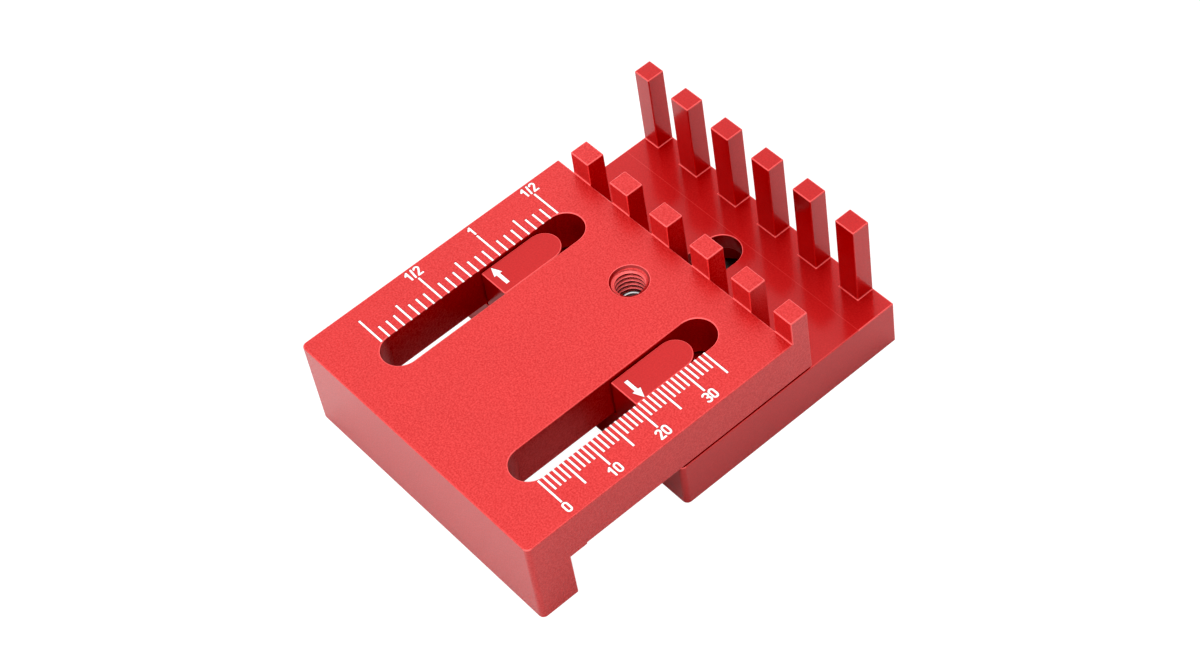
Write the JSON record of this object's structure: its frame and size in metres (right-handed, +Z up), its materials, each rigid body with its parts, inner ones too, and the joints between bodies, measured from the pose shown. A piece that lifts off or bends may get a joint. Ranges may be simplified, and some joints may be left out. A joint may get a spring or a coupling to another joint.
{
  "type": "woodworking depth gauge",
  "caption": "Sliding depth and thickness gauge: a lipped plate with metric and inch scales over a slider with a comb of pegs, locked by a screw from below.",
  "frame": {"origin": "middle of the gauge's overall box at the set jaw opening, on the plane that the lip and the slider rest on", "axes": "+Y along the slide, from the jaw lip to the pegs; +X across, towards the metric scale; +Z up"},
  "size_m": [0.0584, 0.078, 0.0264],
  "materials": {
    "red_anodised": "bead blasted and anodised red, satin",
    "zinc_steel": "bright zinc plated steel",
    "white_fill": "white paint in engraved lines, matte"
  },
  "bodies": {
    "body": {"body": "red_anodised", "metric_ticks": "white_fill", "metric_numerals": "white_fill", "inch_ticks": "white_fill", "inch_numerals": "white_fill"},
    "washer": {"washer": "zinc_steel"},
    "lock_screw": {"lock_screw": "zinc_steel"},
    "slider": {"slider": "red_anodised", "slider_arrows": "white_fill"}
  },
  "joints": [
    {"name": "clamp_lift", "type": "slide", "parent": "body", "child": "washer", "axis": [0, 0, 1], "range_m": [0, 0.00048]},
    {"name": "lock_screw_turn", "type": "hinge", "parent": "washer", "child": "lock_screw", "pos_m": [0, 0.00762, 0], "axis": [0, 0, 1], "range_deg": [0, 172.8]},
    {"name": "slider_travel", "type": "slide", "parent": "washer", "child": "slider", "axis": [0, 1, 0], "range_m": [-0.0185, 0.00515]}
  ],
  "couplings": [
    {"joint": "lock_screw_turn", "follows": "clamp_lift", "rad_per_m": 6283.2}
  ]
}
